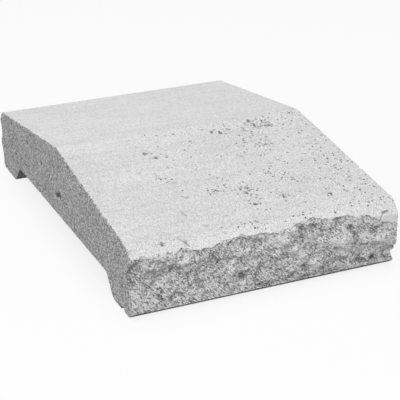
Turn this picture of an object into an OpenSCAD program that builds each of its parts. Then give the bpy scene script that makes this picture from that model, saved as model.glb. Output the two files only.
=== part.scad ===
// Saddle-back wall coping stone of pressed concrete, made in one piece.
//
// Frame: X runs along the wall, Y across it and Z up. The origin is on the ground plane
// under the middle of the stone, which stands on its two downstands.
// The roof, the ends and the underside are moulded: planes with small roundings. Along
// each eaves the roof turns down into what is left of the groove that steers the split.
// The two long faces are split: each is a field of rock relief over a plain band.

/* [Stone] */
// Length along the wall
stone_length = 200; // [160:5:240]
// Width across the wall, measured low down on the split faces
stone_width = 294; // [270:2:330]
// Height at which the two planes of the roof would meet, before the ridge is rounded
ridge_height = 69.5; // [62:0.5:80]
// Height of the roof's planes at the eaves
eaves_height = 49.5; // [44:0.5:54]
// Radius of the rounding along the ridge
ridge_radius = 60; // [20:5:80]

/* [Underside] */
// Width of the recess at its ceiling, which lies on the wall
recess_width = 203; // [180:1:206]
// Height of the recess's ceiling above the ground
recess_depth = 15; // [11:1:18]
// How far each side of the recess leans outwards on its way down
recess_splay = 12; // [8:1:16]
// Radius at the top and bottom of the recess's sides
recess_radius = 7; // [2:0.5:8]
// Radius along the outer bottom edges, which the split faces cut short
foot_radius = 6; // [2:0.5:7]

/* [Splitting grooves] */
// Distance from the split plane in to the arris between the roof and the groove's side
groove_inset = 3.4; // [2:0.2:6]
// Steepness of the groove's side, in degrees below the horizontal
groove_angle = 50; // [40:1:60]
// Radius of that arris
groove_radius = 5.5; // [1:0.5:6]

/* [Split faces] */
// How far the highest point of the relief stands out
relief_out = 5.5; // [4:0.5:8]
// Height of the plain band below the relief
plain_band = 8; // [5:1:12]
// Distance between the points of the relief
relief_step = 3; // [3:0.5:8]
// Seed of the relief on the front face
front_seed = 21; // [1:1:99]
// Seed of the relief on the back face
back_seed = 64; // [1:1:99]

/* [Hidden] */

half_width = stone_width / 2;
half_length = stone_length / 2;
roof_slope = (ridge_height - eaves_height) / half_width;
roof_angle = atan(roof_slope);
arc_steps = 6;

// How the split faces swell from the left end to the right end, as shares of relief_out:
// at swell_middle, and at swell_top and above.
front_swell = [[-0.85, 0.4], [-0.3, 0.3], [0.3, 0.25], [0, 0.3], [0.4, 0.1], [1, 0.9]];
back_swell = [[0.6, 0.4], [0.3, 0.2], [-0.3, 0.3], [0.3, 0.2], [-0.4, 0.4], [0.2, 0.3]];
swell_middle = 26;
swell_top = 41;

// The split starts at the groove, so the relief is calmer there: the share of it that is
// left at the groove, and the height below which it has its full depth.
calm_share = 0.4;
calm_below = 32;

// Each wave of the relief: its cell's length and height, how far its cells are tilted in
// degrees, its share of relief_out, and whether it is folded into sharp crests.
relief_waves = [
    [40, 24, 14, 0.4, false],
    [21, 15, -24, 0.34, true],
    [10, 8, 37, 0.24, false],
    [6, 6, -8, 0.14, true]
];

// ---- Section across the wall ----

// Points on an arc, in the order of its angles.
function arc(centre, radius, from, to) =
    [for (i = [0:arc_steps])
        let (a = from + (to - from) * i / arc_steps)
        centre + radius * [cos(a), sin(a)]];

// Centre of the arc that rounds a corner between two lines, whose outward normals point
// along the two angles.
function inside_corner(corner, radius, normal_1, normal_2) =
    let (
        n1 = [cos(normal_1), sin(normal_1)],
        n2 = [cos(normal_2), sin(normal_2)]
    )
    corner - radius * (n1 + n2) / (1 + n1 * n2);

// Height of the roof's plane at a distance from the ridge.
function roof_at(distance) = ridge_height - roof_slope * distance;

// The right side of the section, from the ceiling of the recess to the roof. It reaches
// out past the split face, which cuts it back later.
function right_side() =
    let (
        side_angle = atan(recess_depth / recess_splay),
        corner_cut = recess_radius * tan(side_angle / 2),
        ceiling_edge = recess_width / 2,
        foot_edge = ceiling_edge + recess_splay,
        reach = relief_out + 2,
        toe = foot_radius * (1 - cos(45)),
        arris = [half_width - groove_inset, roof_at(half_width - groove_inset)],
        groove_drop = (groove_inset + reach) * tan(groove_angle)
    )
    concat(
        arc([ceiling_edge - corner_cut, recess_depth - recess_radius], recess_radius,
            90, 90 - side_angle),
        arc([foot_edge + corner_cut, recess_radius], recess_radius,
            270 - side_angle, 270),
        arc([half_width - foot_radius, foot_radius], foot_radius, 270, 315),
        [[half_width + reach, 2 * toe + reach]],
        [[half_width + reach, arris.y - groove_drop]],
        arc(inside_corner(arris, groove_radius, 90 - groove_angle, 90 - roof_angle),
            groove_radius, 90 - groove_angle, 90 - roof_angle)
    );

function mirrored(points) =
    [for (i = [len(points) - 1:-1:0]) [-points[i].x, points[i].y]];

module section() {
    ridge_centre = [0, ridge_height - ridge_radius / cos(roof_angle)];
    polygon(concat(
        right_side(),
        arc(ridge_centre, ridge_radius, 90 - roof_angle, 90 + roof_angle),
        mirrored(right_side())
    ));
}

// The moulded body before it is split: the section drawn out along the wall.
module moulded_body() {
    rotate([90, 0, 90])
        translate([0, 0, -half_length])
            linear_extrude(stone_length)
                section();
}

// ---- Rock relief of the split faces ----

function fade(t) = t * t * (3 - 2 * t);

// Climbs from 0 at low to 1 at high, and stays there.
function ramp(low, high, value) = fade(min(1, max(0, (value - low) / (high - low))));

// A value, or a pair of them, from a list that is spread over the length of the stone.
function along(list, x) =
    let (
        last = len(list) - 1,
        u = min(last - 0.001, max(0, (x / stone_length + 0.5) * last)),
        i = floor(u),
        t = fade(u - i)
    )
    list[i] * (1 - t) + list[i + 1] * t;

// The swell at x and z: none on the plain band, and the list's pairs above it.
function swell_at(swell, x, z) =
    let (
        pair = along(swell, x),
        middle = pair[0] * ramp(plain_band, swell_middle, z)
    )
    middle + (pair[1] - pair[0]) * ramp(swell_middle, swell_top, z);

// One wave: heights from -1 to 1 at the corners of tilted cells, and even slopes between
// them. The lattice is large enough for the whole face at any tilt.
lattice_size = 90;
function wave(lattice, form, x, z) =
    let (
        u = (x * cos(form[2]) + z * sin(form[2])) / form[0] + lattice_size / 2,
        v = (z * cos(form[2]) - x * sin(form[2])) / form[1] + lattice_size / 2,
        i = floor(u),
        j = floor(v),
        a = u - i,
        b = v - j,
        k = i + j * lattice_size,
        height = (lattice[k] * (1 - a) + lattice[k + 1] * a) * (1 - b)
            + (lattice[k + lattice_size] * (1 - a) + lattice[k + lattice_size + 1] * a) * b
    )
    form[3] * (form[4] ? 0.5 - 2 * abs(height) : height);

// Distance that a split face stands out at x and z, as a share of relief_out.
function relief(x, z, swell, lattices) =
    let (
        waves = [for (w = [0:len(relief_waves) - 1])
            wave(lattices[w], relief_waves[w], x, z)],
        rock = waves * [for (w = waves) 1],
        calm = (1 - calm_share) * ramp(calm_below, swell_top, z)
    )
    swell_at(swell, x, z) + rock * ramp(plain_band / 2, plain_band + 8, z) * (1 - calm);

// The same face as rows of distances, one row for each station along the stone, scaled
// so that the highest point below the groove stands out by relief_out, and none further.
function split_face(stations, levels, swell, seed) =
    let (
        lattices = [for (w = [0:len(relief_waves) - 1])
            rands(-1, 1, lattice_size * lattice_size, seed + w)],
        shares = [for (x = stations) [for (z = levels) relief(x, z, swell, lattices)]],
        peak = max([for (i = [0:len(stations) - 1], j = [0:len(levels) - 1])
            if (abs(stations[i]) < half_length && levels[j] < swell_top - relief_out)
                shares[i][j]])
    )
    [for (row = shares) [for (share = row) min(share / peak, 1) * relief_out]];

// The block that is left between the two split planes, longer and taller than the stone.
module split_block() {
    spare = 1;
    columns = ceil((stone_length + 2 * spare) / relief_step);
    stations = [for (i = [0:columns])
        -half_length - spare + i * (stone_length + 2 * spare) / columns];
    levels = concat(
        [for (z = [-spare:relief_step:eaves_height + relief_step]) z],
        [ridge_height + relief_step]
    );
    rows = len(levels);
    front = split_face(stations, levels, front_swell, front_seed);
    back = split_face(stations, levels, back_swell, back_seed);

    // Each station is a loop: up the front face and down the back face.
    loop = 2 * rows;
    points = [for (i = [0:columns])
        each concat(
            [for (j = [0:rows - 1]) [stations[i], -half_width - front[i][j], levels[j]]],
            [for (j = [rows - 1:-1:0]) [stations[i], half_width + back[i][j], levels[j]]]
        )];
    skin = [for (i = [0:columns - 1], k = [0:loop - 1])
        let (
            a = i * loop + k,
            b = i * loop + (k + 1) % loop
        )
        each [[a, b, b + loop], [a, b + loop, a + loop]]];
    left_end = [for (k = [loop - 1:-1:0]) k];
    right_end = [for (k = [0:loop - 1]) columns * loop + k];
    polyhedron(points, concat(skin, [left_end, right_end]));
}

module coping_stone() {
    color("gainsboro")
        intersection() {
            moulded_body();
            split_block();
        }
}

coping_stone();
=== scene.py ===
"""Saddle-back coping stone of pressed concrete, on a plain pale studio floor.

The stone is one closed mesh. It starts as a cube of the stone's size, takes the moulded
section in edit mode, is cut into a fine grid, and is then fitted to the split faces of
the solid model and roughened with displacements. Units are metres, X runs along the
wall, Y across it and Z up.
"""

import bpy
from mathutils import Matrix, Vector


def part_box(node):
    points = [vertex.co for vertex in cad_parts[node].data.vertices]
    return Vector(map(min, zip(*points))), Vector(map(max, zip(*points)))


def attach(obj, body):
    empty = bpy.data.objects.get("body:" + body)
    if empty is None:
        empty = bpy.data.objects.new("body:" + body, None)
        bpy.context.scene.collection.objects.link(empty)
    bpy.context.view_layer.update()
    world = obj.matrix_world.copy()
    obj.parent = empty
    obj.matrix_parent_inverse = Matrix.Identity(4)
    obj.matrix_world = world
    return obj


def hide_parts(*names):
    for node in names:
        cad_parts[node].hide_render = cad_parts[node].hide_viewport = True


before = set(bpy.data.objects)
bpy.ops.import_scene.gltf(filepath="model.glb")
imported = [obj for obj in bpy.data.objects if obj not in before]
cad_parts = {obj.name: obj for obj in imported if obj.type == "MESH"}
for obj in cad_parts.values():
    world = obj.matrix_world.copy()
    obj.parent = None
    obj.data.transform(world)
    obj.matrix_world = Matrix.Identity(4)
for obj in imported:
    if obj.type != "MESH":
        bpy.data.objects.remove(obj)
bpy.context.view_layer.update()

from math import atan, atan2, cos, hypot, pi, radians, sin, tan

import bmesh
import bpy
import numpy as np
from bpy.props import FloatProperty, FloatVectorProperty, IntProperty, PointerProperty
from mathutils import Euler, Matrix, Vector, noise

bl_info = {
    "name": "Saddle-back Coping Stone",
    "version": (1, 0, 0),
    "blender": (4, 5, 0),
    "location": "3D View > Sidebar > Coping",
    "description": "Models a split-faced concrete coping stone and a studio floor for it",
    "category": "Add Mesh",
}

SOLID = "coping_stone"
MM = 0.001
TOUCH = 0.01 * MM  # places closer together than this are taken as the same
LOW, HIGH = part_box(SOLID)


# ---- Settings ----

def length_setting(name, description, default):
    return FloatProperty(
        name=name, description=description, default=default, min=0, unit="LENGTH"
    )


def grey_setting(name, description, value):
    return FloatVectorProperty(
        name=name, description=description, default=(value, value, value),
        size=3, min=0, max=1, subtype="COLOR",
    )


class CopingShape(bpy.types.PropertyGroup):
    """Sizes of the moulded section."""

    length: length_setting("Length", "Length along the wall", HIGH.x - LOW.x)
    width: length_setting("Width", "Distance between the two split planes", 294 * MM)
    ridge_height: length_setting("Ridge", "Height where the roof planes meet", 69.5 * MM)
    eaves_height: length_setting("Eaves", "Height of the roof at the split planes", 49.5 * MM)
    ridge_round: length_setting("Ridge Rounding", "Radius along the ridge", 20 * MM)
    recess_width: length_setting("Recess Width", "Width of the recess's ceiling", 203 * MM)
    recess_depth: length_setting("Recess Depth", "Height of the recess's ceiling", 15 * MM)
    recess_splay: length_setting("Recess Splay", "How far its sides lean out", 12 * MM)
    recess_round: length_setting("Recess Rounding", "Radius along its sides", 7 * MM)
    foot_round: length_setting("Foot Rounding", "Radius of the outer bottom edges", 6 * MM)
    groove_inset: length_setting("Groove Inset", "From the split plane to the groove", 3.4 * MM)
    groove_angle: FloatProperty(
        name="Groove Angle", description="Steepness of the splitting groove's side",
        default=radians(50), subtype="ANGLE",
    )
    groove_round: length_setting("Groove Rounding", "Radius of the groove's arris", 5.5 * MM)
    end_round: length_setting("End Rounding", "Radius round both moulded ends", 0.7 * MM)


class CopingRelief(bpy.types.PropertyGroup):
    """Depths of the roughness, and how finely the mesh is cut for it."""

    grid: length_setting("Grid", "Distance between the first cuts", 4 * MM)
    front_cuts: IntProperty(
        name="Front Cuts", description="Further cuts of each square of the front face",
        default=6, min=0,
    )
    back_cuts: IntProperty(
        name="Back Cuts", description="Further cuts of each square of the back face",
        default=4, min=0,
    )
    bed_angle: FloatProperty(
        name="Bedding", description="How steeply the broken ledges run down to the right",
        default=radians(42), subtype="ANGLE",
    )
    bed_stretch: FloatProperty(
        name="Bedding Stretch", description="Length of the ledges against their height",
        default=2.4, min=1,
    )
    crags: length_setting("Crags", "Depth of the broken ledges", 6.5 * MM)
    patches: length_setting("Patches", "Depth of the marked hollows and knobs", 1.6 * MM)
    facets: length_setting("Facets", "Depth of the creases between facets", 1.3 * MM)
    pebbles: length_setting("Pebbles", "Depth of the aggregate", 0.7 * MM)
    grains: length_setting("Grains", "Depth of the coarse sand", 0.9 * MM)
    holes: length_setting("Holes", "Depth of the larger air holes", 1.4 * MM)
    hole_count: IntProperty(
        name="Hole Count", description="Small air holes in the front half of the roof",
        default=90, min=0,
    )
    chip_count: IntProperty(
        name="Chip Count", description="Chips along the roof's arris at each end",
        default=8, min=0,
    )
    seed: IntProperty(name="Seed", description="Seed of the holes and chips", default=7)


class CopingColours(bpy.types.PropertyGroup):
    """Greys of the concrete's surfaces."""

    skin: grey_setting("Skin", "Smooth cement skin of the roof", 0.717)
    ends: grey_setting("Ends", "Sandy moulded ends", 0.62)
    # The underside's grey is darker than the ends', as painted shade in the recess and under the
    # stone.
    underside: grey_setting("Underside", "Underside and recess", 0.3)
    rock: grey_setting("Rock", "Broken concrete of the split faces", 0.77)
    pale: grey_setting("Pale Grains", "Pale grains in the broken concrete", 0.95)
    # The dark grey is the dark grains' own colour; in pores, holes, pits and cracks it is painted
    # shade.
    dark: grey_setting("Dark Grains", "Dark grains, pits and cracks", 0.12)


class CopingStage(bpy.types.PropertyGroup):
    """Floor, lamps and surroundings."""

    floor: grey_setting("Floor", "Studio floor", 0.2)
    backdrop: FloatProperty(
        name="Backdrop", description="Share of white in the floor that the camera sees",
        default=0.8, min=0, max=1, subtype="FACTOR",
    )
    key_power: FloatProperty(
        name="Key", description="Power of the lamp above", default=62, min=0, unit="POWER",
    )
    fill_power: FloatProperty(
        name="Fill", description="Power of the front lamp", default=46, min=0, unit="POWER",
    )
    ambient: FloatProperty(name="Ambient", description="Light from all round", default=0.285)


# ---- Tools for modelling ----

def select_only(obj):
    bpy.ops.object.select_all(action="DESELECT")
    obj.select_set(True)
    bpy.context.view_layer.objects.active = obj


def pick(obj, kind, test):
    """Selects, in edit mode, the vertices, edges or faces that pass a test."""
    bpy.ops.mesh.select_mode(type=kind)
    bpy.ops.mesh.select_all(action="DESELECT")
    mesh = bmesh.from_edit_mesh(obj.data)
    items = {"VERT": mesh.verts, "EDGE": mesh.edges, "FACE": mesh.faces}[kind]
    for item in items:
        if test(item):
            item.select_set(True)
    mesh.select_flush_mode()
    bmesh.update_edit_mesh(obj.data)


def cut(place, normal):
    """Cuts the whole mesh along a plane."""
    bpy.ops.mesh.select_all(action="SELECT")
    bpy.ops.mesh.bisect(plane_co=place, plane_no=normal)


def along_x(edge, shortest):
    """Whether an edge runs along the stone and is longer than the shortest."""
    a, b = edge.verts
    return abs(a.co.x - b.co.x) > shortest and hypot(a.co.y - b.co.y, a.co.z - b.co.z) < TOUCH


def round_edges(obj, radius, turn, segments, test):
    """Rounds the picked edges to a radius, where the faces on them turn by an angle."""
    pick(obj, "EDGE", test)
    bpy.ops.mesh.bevel(
        offset_type="OFFSET", offset=radius * tan(turn / 2), segments=segments,
        profile=0.5, affect="EDGES",
    )


def read(items, name, width=3):
    """A property of the vertices or faces, as an array with a row for each of them."""
    values = np.empty(len(items) * width)
    items.foreach_get(name, values)
    return values.reshape(-1, width)


def coordinates(obj):
    return read(obj.data.vertices, "co")


def normals(obj):
    return read(obj.data.vertex_normals, "vector")


def ramp(low, high, values):
    """Climbs smoothly from 0 at low to 1 at high."""
    share = np.clip((values - low) / (high - low), 0, 1)
    return share * share * (3 - 2 * share)


def refine(obj, cuts, test):
    """Cuts the faces that pass a test into smaller ones."""
    bpy.ops.object.mode_set(mode="EDIT")
    pick(obj, "FACE", test)
    bpy.ops.mesh.subdivide(number_cuts=cuts)
    bpy.ops.object.mode_set(mode="OBJECT")


def new_group(obj, name, weights, steps=50):
    """Makes a group that holds the vertices' weights, in even steps from 0 to 1."""
    group = obj.vertex_groups.new(name=name)
    levels = np.round(np.clip(weights, 0, 1) * steps).astype(int)
    for level in range(1, steps + 1):
        members = np.nonzero(levels == level)[0]
        if len(members):
            group.add(members.tolist(), level / steps, "REPLACE")
    return group.name


def new_attribute(obj, name, values):
    attribute = obj.data.attributes.new(name, "FLOAT", "POINT")
    attribute.data.foreach_set("value", values.astype(np.float32))


def displace(obj, texture, strength, middle, group, direction="NORMAL", guide=None):
    """Displaces a group's vertices by a texture, or evenly without one."""
    modifier = obj.modifiers.new("displace", "DISPLACE")
    modifier.texture = texture
    modifier.texture_coords = "OBJECT" if guide else "LOCAL"
    modifier.texture_coords_object = guide
    modifier.direction = direction
    modifier.strength = strength
    modifier.mid_level = middle
    modifier.vertex_group = group
    bpy.ops.object.modifier_apply(modifier=modifier.name)


def push_in(obj, shares, way):
    """Moves the vertices evenly, each by its share of the way."""
    group = new_group(obj, "push", shares)
    for axis, distance in zip("XYZ", way):
        if distance:
            displace(obj, None, distance, 0, group, axis)
    obj.vertex_groups.remove(obj.vertex_groups[group])


def clouds(name, size, depth):
    """Soft noise with lumps of a size, and as many finer layers as its depth says."""
    texture = bpy.data.textures.new(name, "CLOUDS")
    texture.noise_scale = size
    texture.noise_depth = depth
    return texture


def cells(name, size, first, second):
    """A cell pattern from the distances to the nearest and the second nearest point."""
    texture = bpy.data.textures.new(name, "VORONOI")
    texture.noise_scale = size
    texture.weight_1 = first
    texture.weight_2 = second
    return texture


# ---- The moulded blank ----

class Section:
    """Places on the moulded section, worked out from the settings.

    The arris is where a roof plane meets the side of its groove. The skin ends at about
    skin_z, and the foot is cut back by the toe, at 45 degrees.
    """

    def __init__(self, shape):
        self.half_length = shape.length / 2
        self.half_width = shape.width / 2
        self.slope = (shape.ridge_height - shape.eaves_height) / self.half_width
        self.roof_angle = atan(self.slope)
        self.ceiling_edge = shape.recess_width / 2
        self.foot_edge = self.ceiling_edge + shape.recess_splay
        self.side_angle = atan2(shape.recess_depth, shape.recess_splay)
        self.arris_y = self.half_width - shape.groove_inset
        self.arris_z = shape.ridge_height - self.slope * self.arris_y
        self.groove_slope = tan(shape.groove_angle)
        round_reach = shape.groove_round * tan((shape.groove_angle - self.roof_angle) / 2)
        self.groove_top = self.arris_z - round_reach * sin(shape.groove_angle)
        self.skin_z = self.arris_z - 6 * MM
        self.toe = 2 * shape.foot_round * (1 - cos(pi / 4))


def shape_section(obj, shape, section):
    """Gives the cube its roof, its recess and its roundings."""
    half_width, top = section.half_width, shape.eaves_height

    def edge_at(y, z):
        def test(edge):
            middle = (edge.verts[0].co + edge.verts[1].co) / 2
            place = (abs(middle.y) - y, middle.z - z)
            return along_x(edge, section.half_length) and hypot(*place) < TOUCH
        return test

    # The ridge is cut along the middle and pulled up.
    cut((0, 0, 0), (0, 1, 0))
    pick(obj, "EDGE", edge_at(0, top))
    bpy.ops.transform.translate(value=(0, 0, shape.ridge_height - top))

    # The recess's ceiling is cut out of the bottom and pushed up between its sides.
    for y in (section.ceiling_edge, section.foot_edge):
        cut((0, y, 0), (0, 1, 0))
        cut((0, -y, 0), (0, 1, 0))
    pick(obj, "FACE", lambda face: face.normal.z < -0.9
         and abs(face.calc_center_median().y) < section.ceiling_edge)
    bpy.ops.transform.translate(value=(0, 0, shape.recess_depth))

    # The groove's side is cut in below the eaves, and the foot is cut back at 45 degrees.
    groove_foot = section.arris_z - shape.groove_inset * section.groove_slope
    cut((0, 0, groove_foot), (0, 0, 1))
    cut((0, 0, section.toe), (0, 0, 1))
    for side in (1, -1):
        def on_side(vertex):
            return abs(vertex.co.y - side * half_width) < TOUCH

        pick(obj, "VERT", lambda vertex: on_side(vertex) and vertex.co.z > groove_foot + TOUCH)
        bpy.ops.transform.translate(
            value=(0, -side * shape.groove_inset, section.arris_z - top)
        )
        pick(obj, "VERT", lambda vertex: on_side(vertex) and vertex.co.z < TOUCH)
        bpy.ops.transform.translate(value=(0, -side * section.toe, 0))

    # Each rounding: where its edges are, its radius, how far it turns, and its segments.
    for y, z, radius, turn, segments in (
        (0, shape.ridge_height, shape.ridge_round, 2 * section.roof_angle, 8),
        (section.arris_y, section.arris_z, shape.groove_round,
         shape.groove_angle - section.roof_angle, 3),
        (section.ceiling_edge, shape.recess_depth, shape.recess_round, section.side_angle, 5),
        (section.foot_edge, 0, shape.recess_round, section.side_angle, 5),
        (half_width - section.toe, 0, shape.foot_round, pi / 4, 3),
    ):
        round_edges(obj, radius, turn, segments, edge_at(y, z))

    def end_outline(edge):
        at_end = all(abs(abs(v.co.x) - section.half_length) < TOUCH for v in edge.verts)
        end_faces = [face for face in edge.link_faces if abs(face.normal.x) > 0.9]
        return at_end and len(end_faces) == 1

    round_edges(obj, shape.end_round, pi / 2, 2, end_outline)


def cut_grid(obj, shape, relief, section):
    """Cuts the blank into squares, and the split faces and the grooves into small ones."""
    sizes = (shape.length, shape.width, section.arris_z)
    starts = (-section.half_length, -section.half_width, 0)
    for axis in range(3):
        count = round(sizes[axis] / relief.grid)
        normal = [float(i == axis) for i in range(3)]
        for i in range(1, count):
            level = starts[axis] + i * sizes[axis] / count
            cut([level * part for part in normal], normal)
    bpy.ops.object.mode_set(mode="OBJECT")

    def on_split_side(face):
        middle = face.calc_center_median()
        low_enough = section.toe < middle.z < section.groove_top
        return low_enough and abs(face.normal.x) < 0.5 and abs(middle.y) > section.arris_y

    refine(obj, relief.front_cuts, lambda face: face.normal.y < 0 and on_split_side(face))
    refine(obj, relief.back_cuts, lambda face: face.normal.y > 0 and on_split_side(face))


# ---- Relief ----

# Air holes in rows, in millimetres: where each row starts and ends, and the radius of its
# largest holes. On the roof, places are along and across the stone.
ROOF_HOLES = [
    (54.5, -5, 55.5, -15, 1.5), (55, -17, 60, -17.5, 1.6), (65.5, -9, 65.5, -16, 1.5),
    (63, -17, 67, -18, 1.4), (57, -20, 64, -22, 0.7), (22, -13, 25, -15.5, 2.2),
    (28, -12, 33, -16, 0.7), (48, -23, 46.5, -30, 0.8), (-41, -27, -40, -29, 1.3),
    (-36, -35, -35, -37, 1.3), (-46, -62, -44, -67, 1.0), (-42, -70, -36, -75, 0.6),
    (-15, -93, -10, -96, 1.0), (3, -95, 9, -98, 0.8), (4, -101, 6, -105, 0.8),
    (4, -117, 5, -118, 1.3), (28, -109, 28, -117, 0.7), (28, -116, 28.5, -117, 1.2),
    (61, -122, 61, -124, 1.2), (46, -96, 47, -100, 1.0), (40, -92, 45, -95, 0.6),
    (31, -82, 35, -86, 0.7), (50, -42, 52, -47, 0.8), (54, -38, 55, -41, 0.7),
    (85.5, -106, 85.5, -108, 1.0), (-75.5, -142, -76, -144.5, 1.0), (-6, -139, -3, -142, 0.9),
    (-16, -140, -15, -141, 0.9), (88, -2, 96, -5, 0.8), (94, 118, 94, 114, 0.9),
    (-45, 75, -44, 72, 0.7), (24, 74, 23, 71, 0.9), (70, 56, 71, 54, 0.9),
    (-58, 16, -58, 14, 0.9), (-48, 105, -48, 103, 0.8), (16, 120, 15, 118, 0.8),
    (28, 88, 28, 85, 0.7), (79, 76, 79, 74, 0.8), (4, 21, 4, 19, 0.7), (66, 20, 65, 18, 0.8),
    (18, 30, 18, 28, 0.7), (-27, -36, -26, -37, 0.7), (-56, -54, -55, -55, 0.7),
    (-34, -52, -33, -53, 0.7), (-31, -62, -30, -63, 0.6), (-40, -93, -37, -97, 0.7),
    (-24, -83, -23, -84, 0.6), (16, -44, 16, -50, 0.6), (23, -51, 24, -56, 0.7),
    (39, -71, 41, -71, 0.7), (47, -69, 48, -67, 0.8), (29, -26, 30, -27, 0.7),
    (-27, -15, -25, -16, 0.7), (-10, -6, -8, -9, 0.7), (34, -35, 36, -36, 0.6),
    (-48, -110, -47, -120, 0.6), (-43, -132, -37, -134, 0.6), (-22, -125, -21, -126, 0.7),
    (73, -123, 74, -126, 0.7), (-24, -110, -24, -111, 0.7), (97, -33, 97, -35, 0.9),
    (-80, -104, -79, -105, 0.6),
]
# Pitted patches of the roof: the middle of each, its reach along and across, and how
# densely it is pitted.
PITTED = [
    (60, -13, 15, 11, 0.8), (30, -14, 8, 5, 0.6), (-39, -32, 8, 7, 0.4), (-41, -68, 9, 8, 0.5),
    (-13, -94, 8, 5, 0.7), (7, -99, 8, 9, 0.8), (5, -116, 6, 6, 0.5), (28, -114, 6, 6, 0.5),
    (45, -96, 8, 8, 0.6), (33, -82, 9, 6, 0.5), (51, -45, 7, 8, 0.7), (84, -80, 14, 22, 0.4),
    (-5, -143, 10, 5, 0.5), (-62, -146, 8, 4, 0.5), (61, -122, 7, 6, 0.4), (92, -4, 8, 6, 0.8),
    (88, -122, 12, 15, 0.4), (38, -32, 9, 12, 0.3), (-18, -8, 10, 6, 0.3),
    (14, -144, 18, 4, 0.35), (45, -143, 18, 5, 0.35), (80, -142, 20, 7, 0.4),
    (-35, -144, 16, 4, 0.25),
]
# On the front face, places are along the stone and up it.
FACE_HOLES = [
    (-91, 27, -91, 24.5, 0.8), (-84, 31.5, -84, 28.5, 0.5), (-78, 15, -77, 10, 1.3),
    (-72, 16.5, -70, 17.5, 0.8), (-58, 34.5, -57, 35.5, 0.8), (-66, 24, -65.5, 23.5, 0.5),
    (-19, 15.5, -18, 13, 1.0), (-3, 8, -2.5, 7, 0.8), (13.5, 26.5, 14.5, 24.5, 0.7),
    (28, 21.5, 28, 19.5, 0.7), (1, 32, 3, 30.5, 0.6), (42, 29, 46, 27.5, 0.5),
    (73, 9, 77, 8, 1.7), (72.5, 8, 79, 6, 0.9), (83, 8, 86, 7.5, 1.6), (94, 8, 96, 7.5, 1.4),
    (73, 25, 74, 22, 0.8), (76, 23, 78, 22, 0.6), (87.5, 17.5, 89, 17.5, 0.7),
    (92, 18, 93, 17.5, 0.8), (-99, 15, -99, 9, 0.5),
]
# Cracks are rows of holes too.
ROOF_CRACKS = [
    (-63.5, -140, -62.5, -143, 0.5), (-62.5, -143, -60, -145, 0.7), (-60, -145, -58, -146.5, 0.6),
    (-60, -145, -59, -143.5, 0.5),
]
FACE_CRACKS = [
    (85.5, 37, 87, 41, 0.6), (87, 41, 88, 43, 0.6), (88, 43, 92.5, 43.5, 0.7),
]
# Hollows and knobs of the front face, where each starts and ends along the stone and up
# it, its radius, and how far it goes in (below 0) or out, as a share of the setting. The rock
# material also paints each hollow darker and each knob lighter by its share, as painted shade
# and painted light.
FACE_PATCHES = [
    (-98, 35, -97, 28, 3.5, -1.2), (-94, 23, -84, 19, 2.5, -0.6), (-90, 39, -80, 38, 2, -0.5),
    (-78.5, 14, -77, 10, 2.5, -1.3), (-63, 23, -60, 22, 3, -0.6), (-44, 38.5, -41, 37, 1.8, -0.8),
    (-41, 35, -36, 30, 2.2, -0.8), (-28, 42, -25, 41, 2, -0.6), (-19.5, 43, -17, 41, 2.2, -0.8),
    (-8, 39, -6, 37, 1.6, -0.7), (-19, 15.5, -17, 13, 2.2, -1.4), (-10, 10, -5, 6, 2.6, -0.8),
    (1, 32, 9, 30, 2, -0.8), (11, 10, 21, 6, 3, -0.6), (25, 44, 29, 40, 2.2, -1.1),
    (33, 42, 37, 41, 2.2, -1.3), (41, 38, 49, 36, 1.7, -0.8), (29, 13, 33, 10, 1.8, -0.7),
    (54, 45, 57, 41, 2.5, -0.9), (64, 36, 70, 25, 2.2, -1.4), (55, 13, 59, 11, 2, -0.7),
    (45, 7, 58, 5, 2, -0.6), (82, 30.5, 88, 29.5, 2.2, -0.8), (73, 9, 75, 6, 2.4, -1.4),
    (83, 8, 87, 5, 2.4, -1.1), (94, 7, 96, 6, 2, -1.2), (98, 28, 99, 24, 1.5, -1.0),
    (-66, 37.5, -62, 35.5, 3.2, 1.1), (-87, 29, -70, 36, 2.6, 0.8), (-60, 29, -50, 30, 2.6, 0.7),
    (-84, 24, -75, 19, 2.8, 0.7), (-93, 13, -90, 11, 5, 0.6), (-25, 35, -22, 32, 3, 0.8),
    (-25, 23, -20, 21, 2.8, 0.7), (-46, 26, -42, 23, 2.2, 0.7), (-27, 13, -25, 12, 2, 0.6),
    (8, 37.5, 11, 36, 3.2, 1.8), (33, 36, 37, 31, 2.4, 0.7), (21, 28, 30, 20, 3, 1.3),
    (51, 28, 66, 19, 3.2, 1.2), (34, 15, 40, 12, 2.4, 0.9), (20, 13, 25, 11, 2, 0.7),
    (58, 17, 60, 15, 1.8, 0.8), (69, 14, 94, 12, 3, 0.8), (72, 17.5, 94, 17, 2, 0.9),
    (86.5, 23.5, 88, 22.5, 2.2, 1.2), (101, 32, 101, 22, 3, 0.6), (100, 12, 100, 12, 1.5, 1.4),
    (100, 9, 100, 8.5, 1, -1.5), (-6, 4.5, 30, 4, 2, -0.6), (30, 4, 62, 4, 2, -0.6),
]
# Those of the back face, given in the same way.
BACK_PATCHES = [
    (-98, 42, -98, 41, 4, 1.6), (-99, 35, -99, 33, 3, -1.2), (-99, 21, -98, 19, 4, 1.6),
    (-70, 30, -60, 24, 5, -0.8), (-40, 36, -30, 30, 4, 0.8), (-12, 24, -2, 18, 5, -0.8),
    (10, 38, 20, 31, 4, -0.7), (35, 30, 46, 22, 5, 0.8), (60, 20, 66, 15, 4, -1.0),
    (78, 36, 88, 30, 4, 0.7), (-86, 16, -82, 14, 3, -1.2), (20, 12, 24, 11, 3, -1.0),
]
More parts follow.
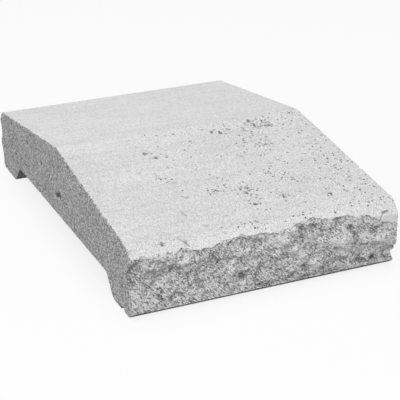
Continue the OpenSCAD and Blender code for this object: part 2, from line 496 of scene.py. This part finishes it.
# On the left end, places are across the stone and up it.
END_HOLES = [
    (42, 40, 38, 43.5, 1.5), (4, 31, -4, 33, 3.0), (78, 44.3, 74, 45.7, 1.1),
    (92.5, 27, 90, 28, 1.1), (83.5, 24.5, 80.5, 26, 1.2), (120, 44, 118, 46.5, 1.0),
    (107.5, 42, 106.5, 42.3, 0.7), (-123, 31, -124.5, 33, 1.1), (-146, 11.5, -147, 16.5, 1.2),
    (46, 17, 45, 17.5, 1.1), (-9, 59.5, -12, 62, 0.7), (15, 34.5, 14, 34.5, 0.7),
    (-130, 51, -131, 51, 0.6), (-105, 44.5, -106, 44.5, 0.7), (139.5, 2.5, 138, 3, 1.2),
    (24, 51, 23, 51, 0.7), (-37, 23, -38, 23, 0.6), (-60, 50, -61, 50, 0.6),
    (-99, 30, -100, 30, 0.6), (62, 25, 61, 25.3, 0.6),
]
# Lower edge of the skin on the front face: places along the stone and up it. Its last three
# stretches go down round the flake of skin that hangs on at the right end.
SKIN_EDGE = [
    (-100, 45.2), (-85, 44.8), (-70, 44.7), (-60, 44.3), (-50, 43), (-44, 42.5), (-33, 45),
    (-18, 46.5), (-8, 45), (8, 44.5), (20, 46), (33, 48), (40, 47), (47, 45.5), (54, 46),
    (64, 44), (76, 43.5), (81, 40.5), (90, 36.5), (100, 33),
]
# Bites out of the arrises: the middle of each along the stone, across and up, and its
# radius.
BITES = [
    (-100, -132, 0, 3.4), (-100, 140, 0, 2.4), (-100, -146, 49.5, 2.8), (-100, 46, 15, 1.8),
    (-100, -98, 14, 1.5), (100, 4, 69.5, 2.2), (100, -98, 56.5, 1.6), (100, -150, 15, 2.2),
    (100, -133, 0, 2.6), (100, 88, 57, 1.6), (100, 141, 0, 3.0),
]


def hole_rows(rows, random, scatter=0.7, smallest=0.5):
    """Places and radii of the holes in the rows, in metres.

    The scatter and the smallest radius are shares of the row's own radius.
    """
    holes = []
    for start_1, start_2, end_1, end_2, radius in rows:
        start, end = np.array([start_1, start_2]), np.array([end_1, end_2])
        count = 2 + int(1.2 * np.linalg.norm(end - start) / radius)
        for share in np.linspace(0, 1, count):
            place = start + (end - start) * share + random.normal(0, scatter * radius, 2)
            holes.append((*(MM * place), MM * radius * random.uniform(smallest, 1)))
    return holes


def small_holes(count, side, shape, random):
    """Places and radii of small air holes on one half of the roof, fewer to the left."""
    holes = []
    while len(holes) < count:
        x = random.uniform(-0.49, 0.49)
        y = side * random.uniform(0.02, 0.495)
        if random.uniform() < ramp(-0.55, 0.1, x) + 0.15:
            radius = MM * min(0.8, 0.4 + random.exponential(0.12))
            holes.append((x * shape.length, y * shape.width, radius))
    return holes


def arris_chips(count, shape, random):
    """Places and radii of the chips along the roof's arrises at both ends."""
    chips = []
    for end in (-1, 1):
        for y in random.uniform(-0.48, 0.48, count):
            x = end * (shape.length / 2 - MM * random.uniform(0, 0.3))
            chips.append((x, y * shape.width, MM * random.uniform(0.3, 0.5)))
    return chips


def pitting(points, facing):
    """How densely the roof is pitted at each point, from 0 to 1.

    The pits are few on the left and behind the ridge, and end where the roof gets steep.
    """
    x, y = points[:, 0] / MM, points[:, 1] / MM
    density = 0.05 + 0.24 * ramp(-75, 5, x)
    for middle_x, middle_y, reach_x, reach_y, share in PITTED:
        away = ((x - middle_x) / reach_x) ** 2 + ((y - middle_y) / reach_y) ** 2
        density += share * np.exp(-away)
    on_front = 0.1 + 0.9 * ramp(6, -2, y)
    return np.clip(density * on_front * ramp(0.45, 0.8, facing[:, 2]), 0, 1)


class Holes:
    """All the holes: on the roof, on the front face and on the left end."""

    def __init__(self, shape, relief, section):
        random = np.random.default_rng(relief.seed)
        self.section = section
        self.roof = np.array(
            hole_rows(ROOF_HOLES, random)
            + hole_rows(ROOF_CRACKS, random, 0.2, 0.9)
            + small_holes(relief.hole_count, -1, shape, random)
            + small_holes(relief.hole_count // 8, 1, shape, random)
            + arris_chips(relief.chip_count, shape, random)
        )
        self.face = np.array(
            hole_rows(FACE_HOLES, random) + hole_rows(FACE_CRACKS, random, 0.2, 0.9)
        )
        self.end = np.array(hole_rows(END_HOLES, random, 0.3, 0.8))

    def on_surface(self, points, facing):
        """For each surface: which points are on it, their flat places, its holes and the
        way in."""
        section = self.section
        roof = (facing[:, 2] > 0.4) & (points[:, 2] > section.skin_z)
        face = points[:, 1] < -section.arris_y
        end = points[:, 0] < 1 * MM - section.half_length
        for here, axes, holes, way in ((roof, [0, 1], self.roof, (0, 0, -1)),
                                       (face, [0, 2], self.face, (0, 1, 0)),
                                       (end, [1, 2], self.end, (1, 0, 0))):
            chosen = np.nonzero(here)[0]
            yield chosen, points[np.ix_(chosen, axes)], holes, way

    def depths(self, points, facing):
        """How deep each point lies in a hole, from 0 to 1, for each way in.

        Holes with a radius below 1 mm are shallower.
        """
        for chosen, plan, holes, way in self.on_surface(points, facing):
            depth = np.zeros(len(points))
            for x, y, radius in holes:
                away = np.hypot(plan[:, 0] - x, plan[:, 1] - y) / radius
                share = np.clip(2 * (1 - away**2), 0, 1) * min(1, radius / MM)
                depth[chosen] = np.maximum(depth[chosen], share)
            yield depth, way

    def near(self, points, facing, reach):
        """Whether each point lies within reach of a hole's rim, in a square around it."""
        near = np.zeros(len(points), dtype=bool)
        for chosen, plan, holes, _ in self.on_surface(points, facing):
            for x, y, radius in holes:
                away = np.maximum(np.abs(plan[:, 0] - x), np.abs(plan[:, 1] - y))
                near[chosen[away < radius + reach]] = True
        for *middle, radius in BITES:
            away = np.abs(points - MM * np.array(middle)).max(axis=1)
            near[away < MM * radius + reach] = True
        return near


def fit_split_faces(obj, section):
    """Moves the split faces and the grooves' sides onto those of the solid model."""
    points = coordinates(obj)
    out = np.abs(points[:, 1]) > section.arris_y + 0.1 * MM
    below_rounding = points[:, 2] < section.groove_top + 0.1 * MM
    above_foot = points[:, 2] > section.toe / 2
    group = new_group(obj, "split_faces", (out & below_rounding & above_foot) * 1.0)
    wrap = obj.modifiers.new("fit", "SHRINKWRAP")
    wrap.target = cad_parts[SOLID]
    wrap.wrap_method = "PROJECT"
    wrap.use_project_y = True
    wrap.use_positive_direction = True
    wrap.use_negative_direction = True
    wrap.project_limit = 20 * MM
    wrap.vertex_group = group
    bpy.ops.object.modifier_apply(modifier=wrap.name)


def skin_edge(points, side, section):
    """Height of the skin's ragged lower edge at each point along one face."""
    stations = np.linspace(-section.half_length, section.half_length, 401)
    edge = np.full(len(stations), section.skin_z)
    if side < 0:
        edge = MM * np.interp(stations / MM, *np.transpose(SKIN_EDGE))
    for size, depth in ((4.1, 1.5), (1.3, 0.8)):
        edge += [depth * MM * noise.noise(Vector((x / (size * MM), side, 0.3)))
                 for x in stations]
    return np.interp(points[:, 0], stations, edge)


def find_rock(points, side, section):
    """Where one side is broken, from 0 to 1: on its face, from the foot up to the skin."""
    deepest = 9 * MM
    on_face = points[:, 1] * side > section.half_width - deepest
    below_skin = ramp(0, 0.7 * MM, skin_edge(points, side, section) - points[:, 2])
    above_foot = ramp(section.toe - 0.3 * MM, section.toe + 0.7 * MM, points[:, 2])
    return on_face * below_skin * above_foot


def patch_shares(points, patches):
    """How far the marked patches push a split face in or out at each point."""
    push = np.zeros(len(points))
    nearly_zero = 1e-9  # stands in for the length of a patch that starts where it ends
    place = points[:, [0, 2]] / MM
    for x1, z1, x2, z2, radius, share in patches:
        start, way = np.array([x1, z1]), np.array([x2 - x1, z2 - z1])
        along = np.clip((place - start) @ way / max(way @ way, nearly_zero), 0, 1)
        away = np.linalg.norm(place - start - along[:, None] * way, axis=1)
        push += share * np.exp(-((away / radius) ** 2))
    return push


def break_faces(obj, relief, section):
    """Roughens the split faces, from large ledges to coarse sand."""
    points = coordinates(obj)
    crags = clouds("crags", 11 * MM, 4)
    facets = cells("facets", 8 * MM, -1, 1)
    bpy.ops.object.empty_add(
        rotation=(0, relief.bed_angle, 0), scale=(relief.bed_stretch, 1, 1)
    )
    bed = bpy.context.object
    select_only(obj)
    all_rock = np.zeros(len(points))
    for name, side in (("front", -1), ("back", 1)):
        rock = find_rock(points, side, section)
        all_rock += rock
        ledges = rock * ramp(section.toe, section.toe + 9 * MM, points[:, 2])
        group = new_group(obj, name + "_ledges", ledges)
        displace(obj, crags, side * relief.crags, 0.6, group, "Y", bed)
        displace(obj, facets, side * relief.facets, 0.4, group, "Y", bed)
    push = np.where(points[:, 1] < 0, patch_shares(points, FACE_PATCHES),
                    patch_shares(points, BACK_PATCHES)) * all_rock
    # Weights end at 1, so the strength is that of the largest share.
    largest = 2
    for sign, name in ((1, "knobs"), (-1, "hollows")):
        for side in (-1, 1):
            weights = sign * push / largest * (points[:, 1] * side > 0)
            group = new_group(obj, f"{name}_{side}", weights)
            displace(obj, None, largest * sign * side * relief.patches, 0, group, "Y")
    # The patch shares also go to the material, which paints hollows darker and knobs lighter, as
    # painted shade and light.
    new_attribute(obj, "patch", push)
    new_attribute(obj, "rock", all_rock)

    # The grains fade out at the moulded ends. How far they stand out goes to the material, which
    # paints standing grains lighter and sunken ones darker, as painted light and shade.
    inside = ramp(0, 1 * MM, section.half_length - np.abs(points[:, 0]))
    group = new_group(obj, "grains", all_rock * inside)
    before, facing = coordinates(obj), normals(obj)
    displace(obj, cells("pebbles", 5.2 * MM, 1, 0), -relief.pebbles, 0.4, group)
    displace(obj, clouds("grains", 1.1 * MM, 1), relief.grains, 0.6, group)
    raised = np.sum((coordinates(obj) - before) * facing, axis=1)
    new_attribute(obj, "raised", raised / MM)
    bpy.data.objects.remove(bed)

    # What stands out furthest is pressed back towards the solid model's box.
    limit, furthest = HIGH.y - 2 * MM, 4 * MM
    out = coordinates(obj)[:, 1]
    for side in (-1, 1):
        excess = np.clip(out * side - limit, 0, None)
        push_in(obj, 0.8 * excess / furthest, (0, -side * furthest, 0))


def sink_holes(obj, shape, relief, section):
    """Sinks the air holes, the chips and the bites, in faces made small enough for them."""
    holes = Holes(shape, relief, section)
    # Each round cuts the faces that are larger than a size and within reach of a rim.
    for largest, cuts, reach in ((2.2, 2, 2.0), (0.9, 3, 0.7), (0.45, 1, 0.3)):
        faces = obj.data.polygons
        sizes = np.sqrt(read(faces, "area", 1)[:, 0])
        near = holes.near(read(faces, "center"), read(faces, "normal"), reach * MM)
        chosen = (sizes > largest * MM) & near
        refine(obj, cuts, lambda face: chosen[face.index])
    points, facing = coordinates(obj), normals(obj)
    deepest = np.zeros(len(points))
    for depth, way in holes.depths(points, facing):
        push_in(obj, depth, relief.holes * Vector(way))
        deepest = np.maximum(deepest, depth)
    # The materials paint the holes dark with this depth, as painted shade inside them.
    new_attribute(obj, "hole", deepest)
    new_attribute(obj, "pitting", pitting(points, facing))
    # How steep the surface is: the skin material paints steep skin paler with it, as painted
    # light.
    new_attribute(obj, "steep", ramp(0.8, 0.2, facing[:, 2]))
    # Each bite is pushed in towards the middle of the stone.
    for x, y, z, radius in BITES:
        away = np.linalg.norm(points - MM * np.array((x, y, z)), axis=1) / (MM * radius)
        inwards = Vector((-0.2 * x, -0.1 * y, 35 - z)).normalized()
        push_in(obj, np.sqrt(np.clip(1 - away**2, 0, 1)), 0.8 * MM * radius * inwards)


# ---- Materials ----

class Nodes:
    """Short ways to add the nodes of one material."""

    def __init__(self, name):
        self.material = bpy.data.materials.new(name)
        self.material.use_nodes = True
        self.tree = self.material.node_tree
        self.shader = self.tree.nodes["Principled BSDF"]
        self.place = self.tree.nodes.new("ShaderNodeTexCoord").outputs["Object"]

    def link(self, source, target):
        """Joins a socket to the target, or sets the target to a plain value."""
        if isinstance(source, bpy.types.NodeSocket):
            self.tree.links.new(source, target)
        else:
            target.default_value = source

    def axis(self, name):
        node = self.tree.nodes.new("ShaderNodeSeparateXYZ")
        self.link(self.place, node.inputs[0])
        return node.outputs[name]

    def stretched(self, x, y, z, turn=0.0):
        """Places for a pattern that is turned about Y and stretched along its axes."""
        node = self.tree.nodes.new("ShaderNodeMapping")
        node.vector_type = "TEXTURE"
        node.inputs["Rotation"].default_value = (0, turn, 0)
        node.inputs["Scale"].default_value = (x, y, z)
        self.link(self.place, node.inputs["Vector"])
        return node.outputs["Vector"]

    def noise(self, scale, detail=2.0, rough=0.5, place=None):
        node = self.tree.nodes.new("ShaderNodeTexNoise")
        node.inputs["Scale"].default_value = scale
        node.inputs["Detail"].default_value = detail
        node.inputs["Roughness"].default_value = rough
        self.link(place or self.place, node.inputs["Vector"])
        return node.outputs["Fac"]

    def voronoi(self, scale, output="Distance", place=None, flat=False):
        node = self.tree.nodes.new("ShaderNodeTexVoronoi")
        node.voronoi_dimensions = "2D" if flat else "3D"
        node.inputs["Scale"].default_value = scale
        self.link(place or self.place, node.inputs["Vector"])
        return node.outputs[output]

    def attribute(self, name):
        node = self.tree.nodes.new("ShaderNodeAttribute")
        node.attribute_name = name
        return node.outputs["Fac"]

    def math(self, operation, a, b):
        node = self.tree.nodes.new("ShaderNodeMath")
        node.operation = operation
        self.link(a, node.inputs[0])
        self.link(b, node.inputs[1])
        return node.outputs[0]

    def total(self, first, *others):
        for value in others:
            first = self.math("ADD", first, value)
        return first

    def remap(self, value, low, high, to_low=0.0, to_high=1.0):
        node = self.tree.nodes.new("ShaderNodeMapRange")
        self.link(value, node.inputs["Value"])
        for name, number in (("From Min", low), ("From Max", high),
                             ("To Min", to_low), ("To Max", to_high)):
            node.inputs[name].default_value = number
        return node.outputs["Result"]

    def swing(self, value, reach, low=0.3, high=0.7):
        """Spreads a pattern that runs from low to high over -reach to reach."""
        return self.remap(value, low, high, -reach, reach)

    def mix(self, share, a, b):
        """Mixes two colours, whose sockets come after those for numbers and vectors."""
        node = self.tree.nodes.new("ShaderNodeMix")
        node.data_type = "RGBA"
        self.link(share, node.inputs[0])
        self.link(a, node.inputs[6])
        self.link(b, node.inputs[7])
        return node.outputs[2]

    def bump(self, height, distance, below=None):
        node = self.tree.nodes.new("ShaderNodeBump")
        node.inputs["Distance"].default_value = distance
        self.link(height, node.inputs["Height"])
        if below:
            self.link(below, node.inputs["Normal"])
        return node.outputs["Normal"]

    def blend(self, share, first, second):
        """Mixes two shaders."""
        node = self.tree.nodes.new("ShaderNodeMixShader")
        for source, target in zip((share, first, second), node.inputs):
            self.link(source, target)
        return node.outputs[0]

    def finish(self, colour, roughness, normal):
        self.link(colour, self.shader.inputs["Base Color"])
        self.link(roughness, self.shader.inputs["Roughness"])
        self.link(normal, self.shader.inputs["Normal"])
        self.shader.inputs["Specular IOR Level"].default_value = 0.25
        return self.material


def rgba(colour, factor=1.0):
    return (*[min(1, channel * factor) for channel in colour], 1)


def small_pores(nodes, scale, share, radius, ragged, flat=False):
    """Small ragged pores: 1 in a pore, 0 outside. Only a share of the cells have one."""
    rim = nodes.swing(nodes.noise(2.2 * scale, 1), ragged)
    distance = nodes.math("ADD", nodes.voronoi(scale, flat=flat), rim)
    inside = nodes.remap(distance, radius, radius * 0.6)
    chance = nodes.voronoi(scale, "Color", flat=flat)
    needed = nodes.math("SUBTRACT", 1, share)
    return nodes.math("MULTIPLY", inside, nodes.math("GREATER_THAN", chance, needed))


def skin_material(colours):
    """Smooth cement skin: mottled, faintly dragged along the stone, with small pores."""
    nodes = Nodes("moulded_skin")
    mottle = nodes.noise(28, detail=4)
    drag = nodes.noise(1, 3, 0.6, nodes.stretched(1 / 14, 1 / 190, 1 / 60))
    grain = nodes.noise(2200, rough=0.7)
    sand = nodes.voronoi(2100, "Color")

    # Behind the ridge the specks are stronger. The back roof plane is painted paler as painted
    # light, and the skin is painted paler still where the roof turns down at the grooves and on
    # the hanging flake, as painted light on faces that the lamps light less.
    across = nodes.axis("Y")
    speckle = nodes.total(nodes.swing(grain, 1), nodes.swing(sand, 1, 0, 1))
    strength = nodes.remap(across, -5 * MM, 5 * MM, 1.6, 1.8)
    tone = nodes.total(
        nodes.swing(mottle, 0.15), nodes.swing(drag, 0.2),
        nodes.math("MULTIPLY", speckle, strength),
    )
    # Painted light: the back plane and the steep skin are painted paler.
    back = nodes.remap(across, -20 * MM, 20 * MM, 0, 0.18)
    steep = nodes.remap(nodes.attribute("steep"), 0, 1, 0, 0.45)
    tone = nodes.total(nodes.remap(tone, -1.85, 1.65), back, steep)
    base = nodes.mix(tone, rgba(colours.skin, 0.54), rgba(colours.skin, 1.46))
    density = nodes.attribute("pitting")
    share = nodes.math("MULTIPLY", density, 0.5)
    pores = small_pores(nodes, 360, share, 0.28, 0.1, flat=True)
    share = nodes.math("MULTIPLY", density, 0.25)
    fine = small_pores(nodes, 760, share, 0.45, 0.15, flat=True)
    # The pores and the sunk holes are painted dark, as painted shade inside them.
    holes = nodes.math("MAXIMUM", nodes.math("MULTIPLY", fine, 0.85),
                       nodes.math("MULTIPLY", pores, 0.95))
    holes = nodes.math("MAXIMUM", holes, nodes.attribute("hole"))
    colour = nodes.mix(nodes.math("MINIMUM", holes, 0.87), base, rgba(colours.dark))
    normal = nodes.bump(grain, 0.12 * MM)
    normal = nodes.bump(drag, 0.3 * MM, normal)
    normal = nodes.bump(nodes.math("SUBTRACT", 1, pores), 0.5 * MM, normal)
    return nodes.finish(colour, nodes.remap(mottle, 0.3, 0.7, 0.82, 0.92), normal)


def sandy_material(name, grey, colours):
    """Sandy moulded face: fine open grain with pores and a few pale grains."""
    nodes = Nodes(name)
    mottle = nodes.noise(60, detail=3)
    grain = nodes.noise(1500, rough=0.7)
    sand = nodes.voronoi(1250, "Color")
    tone = nodes.total(
        nodes.swing(grain, 3, 0.25, 0.75), nodes.swing(sand, 3, 0, 1), nodes.swing(mottle, 0.2),
    )
    base = nodes.mix(nodes.remap(tone, -2.1, 1.4), rgba(grey, 0.1), rgba(grey, 1.7))
    pores = small_pores(nodes, 330, 0.08, 0.35, 0.1)
    pale = small_pores(nodes, 300, 0.05, 0.3, 0.1)
    colour = nodes.mix(nodes.math("MULTIPLY", pale, 0.4), base, rgba(grey, 1.6))
    # Pores and sunk holes are painted dark, as painted shade inside them; the pale grains are the
    # sand's own.
    holes = nodes.math("MAXIMUM", nodes.math("MULTIPLY", pores, 0.6),
                       nodes.math("MULTIPLY", nodes.attribute("hole"), 0.95))
    colour = nodes.mix(holes, colour, rgba(colours.dark))
    normal = nodes.bump(grain, 0.7 * MM)
    normal = nodes.bump(nodes.math("SUBTRACT", 1, pores), 0.7 * MM, normal)
    return nodes.finish(colour, 0.92, normal)


def rock_material(colours, relief):
    """Broken concrete: sand and pebbles of several greys in a mid-grey matrix."""
    nodes = Nodes("split_rock")
    # The mottle and the sand run down along the bedding, as the ledges do.
    ledges = nodes.stretched(relief.bed_stretch, 1, 1, relief.bed_angle)
    streaks = nodes.stretched(3, 1, 1, relief.bed_angle)
    mottle = nodes.noise(90, 4, 0.6, ledges)
    grain = nodes.noise(1500, 3, 0.7, streaks)
    sand = nodes.voronoi(1300, "Color", streaks)
    grit = nodes.voronoi(330, "Color")
    tone = nodes.total(
        nodes.swing(grain, 3.3, 0.25, 0.75), nodes.swing(sand, 3.3, 0, 1),
        nodes.swing(grit, 0.6, 0, 1), nodes.swing(mottle, 0.9),
        # Painted light and shade: standing grains and marked knobs are painted lighter, sunken
        # grains and marked hollows darker.
        nodes.swing(nodes.attribute("raised"), 0.3, -0.5, 0.2),
        nodes.swing(nodes.attribute("patch"), 3.2, -2, 2),
    )
    base = nodes.mix(nodes.remap(tone, -2.8, 1.2), rgba(colours.rock, 0.3), rgba((1, 1, 1)))
    pale = small_pores(nodes, 300, 0.10, 0.45, 0.15)
    dark = small_pores(nodes, 480, 0.10, 0.4, 0.15)
    colour = nodes.mix(nodes.math("MULTIPLY", pale, 0.5), base, rgba(colours.pale))
    # Sunk holes are painted dark, as painted shade inside them; the dark grains are the
    # concrete's own.
    dark = nodes.math("MAXIMUM", nodes.math("MULTIPLY", dark, 0.6),
                      nodes.math("MULTIPLY", nodes.attribute("hole"), 0.7))
    colour = nodes.mix(dark, colour, rgba(colours.dark))
    normal = nodes.bump(grain, 1 * MM)
    normal = nodes.bump(nodes.voronoi(700), 0.5 * MM, normal)
    return nodes.finish(colour, 0.94, normal)


def seen_directly(tree):
    """1 for the camera and in reflections, 0 for the light that surfaces throw on."""
    rays = tree.nodes.new("ShaderNodeLightPath")
    total = rays.outputs["Is Camera Ray"]
    for name in ("Is Glossy Ray", "Is Transmission Ray"):
        either = tree.nodes.new("ShaderNodeMath")
        either.operation = "MAXIMUM"
        tree.links.new(total, either.inputs[0])
        tree.links.new(rays.outputs[name], either.inputs[1])
        total = either.outputs[0]
    return total


def floor_material(stage):
    """Matt floor that the camera sees whiter than it lights the stone."""
    nodes = Nodes("studio_floor")
    tree = nodes.tree
    nodes.link(rgba(stage.floor), nodes.shader.inputs["Base Color"])
    nodes.link(0.9, nodes.shader.inputs["Roughness"])
    matt = tree.nodes.new("ShaderNodeBsdfDiffuse")
    nodes.link(rgba((1, 1, 1), 0.97), matt.inputs["Color"])
    glow = tree.nodes.new("ShaderNodeEmission")
    seen = nodes.blend(stage.backdrop, matt.outputs[0], glow.outputs[0])
    surface = nodes.blend(seen_directly(tree), nodes.shader.outputs[0], seen)
    nodes.link(surface, tree.nodes["Material Output"].inputs["Surface"])
    return nodes.material


def paint(obj, colours, relief, section):
    """Gives the roof, the ends, the underside and the split faces their materials."""
    for material in (
        skin_material(colours),
        sandy_material("sandy_end", colours.ends, colours),
        # The underside takes the darker grey, painted shade.
        sandy_material("sandy_underside_painted_shade", colours.underside, colours),
        rock_material(colours, relief),
    ):
        obj.data.materials.append(material)
    skin, end, underside, rock = range(4)

    # The end's sand goes round its moulded edges, but not onto the rock beside it.
    mesh = obj.data
    rock_share = read(mesh.attributes["rock"].data, "value", 1)
    chosen = []
    for face in mesh.polygons:
        tilt, middle = face.normal, face.center
        near_end = abs(middle.x) > section.half_length - 1.5 * MM
        broken = np.mean(rock_share[list(face.vertices)]) > 0.4
        if near_end and abs(tilt.x) > (0.8 if broken else 0.35):
            chosen.append(end)
        elif broken:
            chosen.append(rock)
        # Faces low on the stone take the underside's darker grey, painted shade.
        elif middle.z < section.arris_z - 20 * MM:
            chosen.append(underside)
        else:
            chosen.append(skin)
    mesh.polygons.foreach_set("material_index", chosen)


# ---- Operators ----

class COPING_OT_cast_stone(bpy.types.Operator):
    """Model the coping stone over the solid model"""

    bl_idname = "coping.cast_stone"
    bl_label = "Cast Stone"
    bl_options = {"REGISTER", "UNDO"}

    def execute(self, context):
        shape = context.scene.coping_shape
        relief = context.scene.coping_relief
        section = Section(shape)
        bpy.ops.object.select_all(action="DESELECT")
        bpy.ops.mesh.primitive_cube_add(
            size=1, location=(0, 0, shape.eaves_height / 2),
            scale=(shape.length, shape.width, shape.eaves_height),
        )
        stone = context.object
        stone.name = stone.data.name = "split_faced_coping"
        bpy.ops.object.transform_apply(location=True, rotation=False, scale=False)
        bpy.ops.object.mode_set(mode="EDIT")
        shape_section(stone, shape, section)
        cut_grid(stone, shape, relief, section)
        fit_split_faces(stone, section)
        break_faces(stone, relief, section)
        sink_holes(stone, shape, relief, section)
        paint(stone, context.scene.coping_colours, relief, section)
        bpy.ops.object.shade_smooth_by_angle(angle=radians(50))
        weigh = stone.modifiers.new("weigh", "WEIGHTED_NORMAL")
        weigh.keep_sharp = True
        bpy.ops.object.modifier_apply(modifier=weigh.name)
        stone.vertex_groups.clear()
        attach(stone, "root")
        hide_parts(SOLID)
        return {"FINISHED"}


class COPING_OT_lay_stage(bpy.types.Operator):
    """Add the floor, the lamps, the surroundings and the camera"""

    bl_idname = "coping.lay_stage"
    bl_label = "Lay Stage"
    bl_options = {"REGISTER", "UNDO"}

    def execute(self, context):
        stage = context.scene.coping_stage
        bpy.ops.object.select_all(action="DESELECT")
        bpy.ops.mesh.primitive_plane_add(size=12, location=(0, 0, 0))
        floor = context.object
        floor.name = "studio_floor"
        floor.data.materials.append(floor_material(stage))
        self.add_lamp("key_lamp", (0, 0.4, 3.98), 3.2, stage.key_power)
        self.add_lamp("fill_lamp", (-1.35, -2.0, 1.6), 1.6, stage.fill_power)
        self.add_surroundings(context.scene, stage.ambient)
        self.add_camera(context.scene)
        context.scene.view_settings.view_transform = "Standard"
        return {"FINISHED"}

    def add_lamp(self, name, place, size, power):
        bpy.ops.object.light_add(type="AREA", location=place)
        lamp = bpy.context.object
        lamp.name = name
        lamp.data.shape = "DISK"
        lamp.data.size = size
        lamp.data.energy = power
        lamp.rotation_euler = (-Vector(place)).to_track_quat("-Z", "Y").to_euler()

    def add_surroundings(self, scene, strength):
        world = bpy.data.worlds.new("studio")
        scene.world = world
        world.use_nodes = True
        tree = world.node_tree
        background = tree.nodes["Background"]
        background.inputs["Color"].default_value = (1, 1, 1, 1)
        level = tree.nodes.new("ShaderNodeMapRange")
        tree.links.new(seen_directly(tree), level.inputs["Value"])
        level.inputs["To Min"].default_value = strength
        level.inputs["To Max"].default_value = 1
        tree.links.new(level.outputs["Result"], background.inputs["Strength"])

    def add_camera(self, scene):
        pitch, yaw, roll = radians(23.81), radians(24.1), radians(-0.25)
        turn = Euler((pi / 2 - pitch, 0, -yaw)).to_matrix() @ Matrix.Rotation(roll, 3, "Z")
        bpy.ops.object.camera_add(location=(-0.3582, -0.8357, 0.4104))
        camera = bpy.context.object
        camera.name = "camera"
        camera.rotation_euler = turn.to_euler()
        camera.data.sensor_width = 36
        camera.data.lens = 114.84
        camera.data.clip_start = 0.01
        scene.camera = camera


class COPING_PT_panel(bpy.types.Panel):
    """Settings and steps of the coping stone"""

    bl_label = "Coping Stone"
    bl_space_type = "VIEW_3D"
    bl_region_type = "UI"
    bl_category = "Coping"

    def draw(self, context):
        for settings in SETTINGS:
            group = getattr(context.scene, settings)
            box = self.layout.box()
            for name in group.__annotations__:
                box.prop(group, name)
        self.layout.operator(COPING_OT_cast_stone.bl_idname)
        self.layout.operator(COPING_OT_lay_stage.bl_idname)


SETTINGS = {
    "coping_shape": CopingShape, "coping_relief": CopingRelief,
    "coping_colours": CopingColours, "coping_stage": CopingStage,
}
CLASSES = (*SETTINGS.values(), COPING_OT_cast_stone, COPING_OT_lay_stage, COPING_PT_panel)


def register():
    for cls in CLASSES:
        bpy.utils.register_class(cls)
    for name, group in SETTINGS.items():
        setattr(bpy.types.Scene, name, PointerProperty(type=group))


def unregister():
    for name in SETTINGS:
        delattr(bpy.types.Scene, name)
    for cls in reversed(CLASSES):
        bpy.utils.unregister_class(cls)


def main():
    register()
    bpy.ops.coping.cast_stone()
    bpy.ops.coping.lay_stage()


if __name__ == "__main__":
    main()
